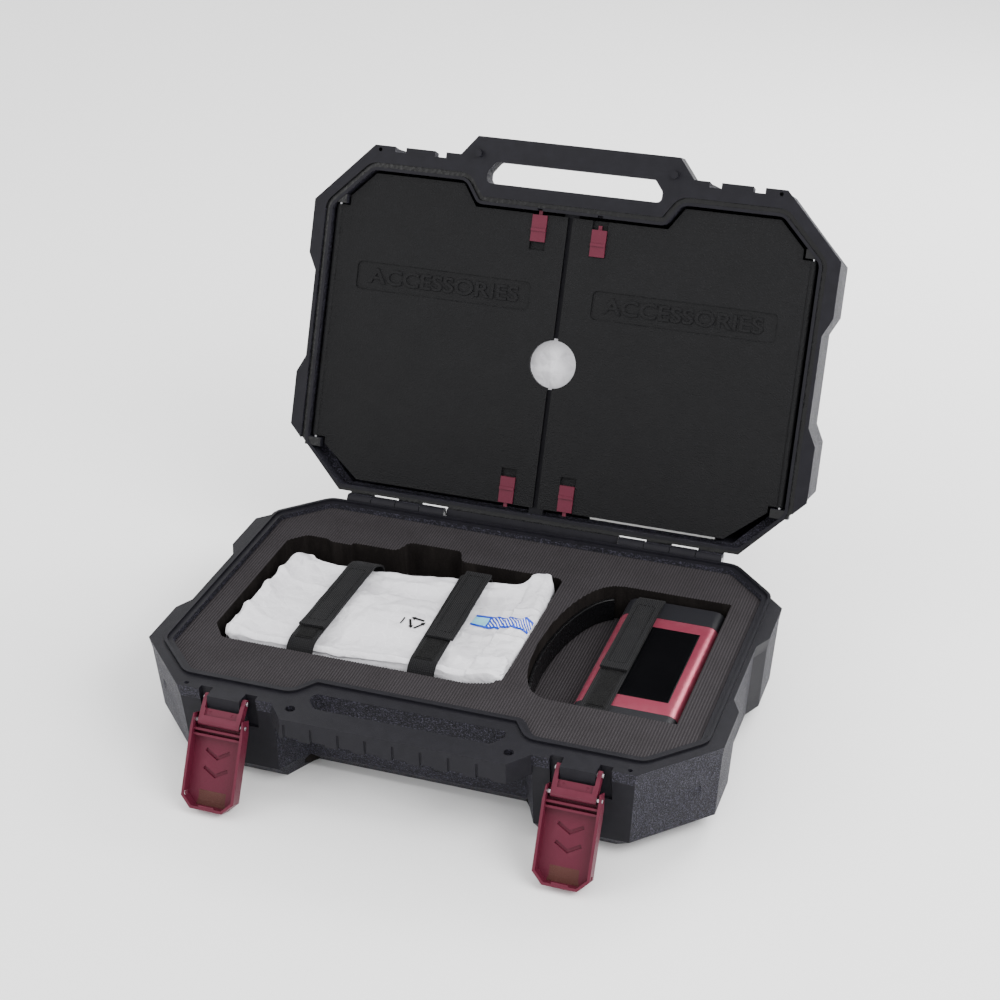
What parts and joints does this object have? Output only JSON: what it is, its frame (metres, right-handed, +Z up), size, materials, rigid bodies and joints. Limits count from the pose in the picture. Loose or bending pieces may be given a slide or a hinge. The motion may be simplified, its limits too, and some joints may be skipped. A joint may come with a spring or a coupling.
{
  "type": "vector network analyzer kit",
  "caption": "Handheld vector network analyzer strapped into the foam of an open hard carry case with draw latches, a hinged lid and bolted accessory doors.",
  "frame": {"origin": "middle of the case base's flat underside", "axes": "+X to the right of the open case seen from its latch side, +Y towards the hinge side, +Z up"},
  "size_m": [0.44, 0.5189, 0.3611],
  "materials": {
    "case_plastic": "grained moulded plastic",
    "door_plastic": "fine leather-grain moulded plastic",
    "latch_plastic": "satin dark red plastic",
    "pin_steel": "drawn steel",
    "case_foam": "ribbed closed-cell foam",
    "liner_plastic": "gloss black sheet",
    "bag_film": "translucent white film",
    "unit_plastic": "matte",
    "strap_webbing": "woven webbing",
    "hook_patch": "hook fabric",
    "sleeve_metal": "satin anodised dark rose",
    "cap_plastic": "satin moulded plastic",
    "display_glass": "gloss black cover glass, opaque print behind",
    "board_laminate": "solder mask",
    "battery_wrap": "shrink wrap",
    "port_brass": "gold plated",
    "guide_paper": "printed paper"
  },
  "bodies": {
    "case_base": {"analyzer_sleeve": "sleeve_metal", "base_shell": "case_plastic", "battery_cell": "battery_wrap", "cap_screw_far_left": "pin_steel", "cap_screw_far_right": "pin_steel", "cap_screw_near_left": "pin_steel", "cap_screw_near_right": "pin_steel", "display_glass": "display_glass", "display_module": "unit_plastic", "end_cap_far": "cap_plastic", "end_cap_near": "cap_plastic", "film_bag": "bag_film", "foam_floor": "case_foam", "foam_top": "case_foam", "hinge_pin_left": "pin_steel", "hinge_pin_right": "pin_steel", "latch_left_base_pin": "pin_steel", "latch_right_base_pin": "pin_steel", "main_board": "board_laminate", "pocket_liner": "liner_plastic", "shield_can": "pin_steel", "strap_analyzer_hook_patch": "hook_patch", "strap_analyzer_webbing": "strap_webbing", "strap_inner_hook_patch": "hook_patch", "strap_inner_webbing": "strap_webbing", "strap_outer_hook_patch": "hook_patch", "strap_outer_webbing": "strap_webbing", "test_port_left": "port_brass", "test_port_right": "port_brass", "usb_socket": "pin_steel", "wrapped_unit": "unit_plastic"},
    "lid": {"lid_shell": "case_plastic", "accessory_pouch": "bag_film", "quick_guide": "guide_paper", "door_pin_left_top": "pin_steel", "door_pin_left_low": "pin_steel", "door_pin_right_top": "pin_steel", "door_pin_right_low": "pin_steel"},
    "door_left": {"accessory_door_left": "door_plastic"},
    "slider_left_top": {"door_slider_left_top": "latch_plastic"},
    "slider_left_low": {"door_slider_left_low": "latch_plastic"},
    "link_left": {"latch_left_link": "latch_plastic", "latch_left_link_pin": "pin_steel"},
    "lever_left": {"latch_left_lever": "latch_plastic"},
    "door_right": {"accessory_door_right": "door_plastic"},
    "slider_right_top": {"door_slider_right_top": "latch_plastic"},
    "slider_right_low": {"door_slider_right_low": "latch_plastic"},
    "link_right": {"latch_right_link": "latch_plastic", "latch_right_link_pin": "pin_steel"},
    "lever_right": {"latch_right_lever": "latch_plastic"},
    "flap_outer": {"strap_outer_flap": "strap_webbing"},
    "flap_inner": {"strap_inner_flap": "strap_webbing"},
    "flap_analyzer": {"strap_analyzer_flap": "strap_webbing"},
    "button": {"power_button": "latch_plastic"}
  },
  "joints": [
    {"name": "lid_hinge", "type": "hinge", "parent": "case_base", "child": "lid", "pos_m": [0, 0.1495, 0.076], "axis": [-1, 0, 0], "range_deg": [-112.8, 0]},
    {"name": "latch_left_link_pivot", "type": "hinge", "parent": "case_base", "child": "link_left", "pos_m": [-0.132, -0.1455, 0.0715], "axis": [-1, 0, 0], "range_deg": [0, 135]},
    {"name": "latch_left_lever_pivot", "type": "hinge", "parent": "link_left", "child": "lever_left", "pos_m": [-0.132, -0.15752, 0.05948], "axis": [-1, 0, 0], "range_deg": [0, 100]},
    {"name": "latch_right_link_pivot", "type": "hinge", "parent": "case_base", "child": "link_right", "pos_m": [0.132, -0.1455, 0.0715], "axis": [-1, 0, 0], "range_deg": [0, 135]},
    {"name": "latch_right_lever_pivot", "type": "hinge", "parent": "link_right", "child": "lever_right", "pos_m": [0.132, -0.15752, 0.05948], "axis": [-1, 0, 0], "range_deg": [0, 100]},
    {"name": "door_left_hinge", "type": "hinge", "parent": "lid", "child": "door_left", "pos_m": [-0.1985, 0.15526, 0.07358], "axis": [0, -0.3875, -0.9219], "range_deg": [0, 100]},
    {"name": "door_right_hinge", "type": "hinge", "parent": "lid", "child": "door_right", "pos_m": [0.1985, 0.15526, 0.07358], "axis": [0, 0.3875, 0.9219], "range_deg": [0, 100]},
    {"name": "slider_left_top_slide", "type": "slide", "parent": "door_left", "child": "slider_left_top", "axis": [0, -0.3875, -0.9219], "range_m": [0, 0.0065]},
    {"name": "slider_left_low_slide", "type": "slide", "parent": "door_left", "child": "slider_left_low", "axis": [0, 0.3875, 0.9219], "range_m": [0, 0.0065]},
    {"name": "slider_right_top_slide", "type": "slide", "parent": "door_right", "child": "slider_right_top", "axis": [0, 0.3875, 0.9219], "range_m": [0, 0.0065]},
    {"name": "slider_right_low_slide", "type": "slide", "parent": "door_right", "child": "slider_right_low", "axis": [0, 0.3875, 0.9219], "range_m": [0, 0.0065]},
    {"name": "flap_outer_peel", "type": "hinge", "parent": "case_base", "child": "flap_outer", "pos_m": [-0.1095, 0.052, 0.0772], "axis": [-1, 0, 0], "range_deg": [0, 100]},
    {"name": "flap_inner_peel", "type": "hinge", "parent": "case_base", "child": "flap_inner", "pos_m": [-0.0135, 0.067, 0.0772], "axis": [-1, 0, 0], "range_deg": [0, 100]},
    {"name": "flap_analyzer_peel", "type": "hinge", "parent": "case_base", "child": "flap_analyzer", "pos_m": [0.1185, 0.078, 0.0702], "axis": [-1, 0, 0], "range_deg": [0, 100]},
    {"name": "power_button_press", "type": "slide", "parent": "case_base", "child": "button", "axis": [0, 1, 0], "range_m": [0, 0.0009], "stiffness_N_per_m": 150}
  ]
}
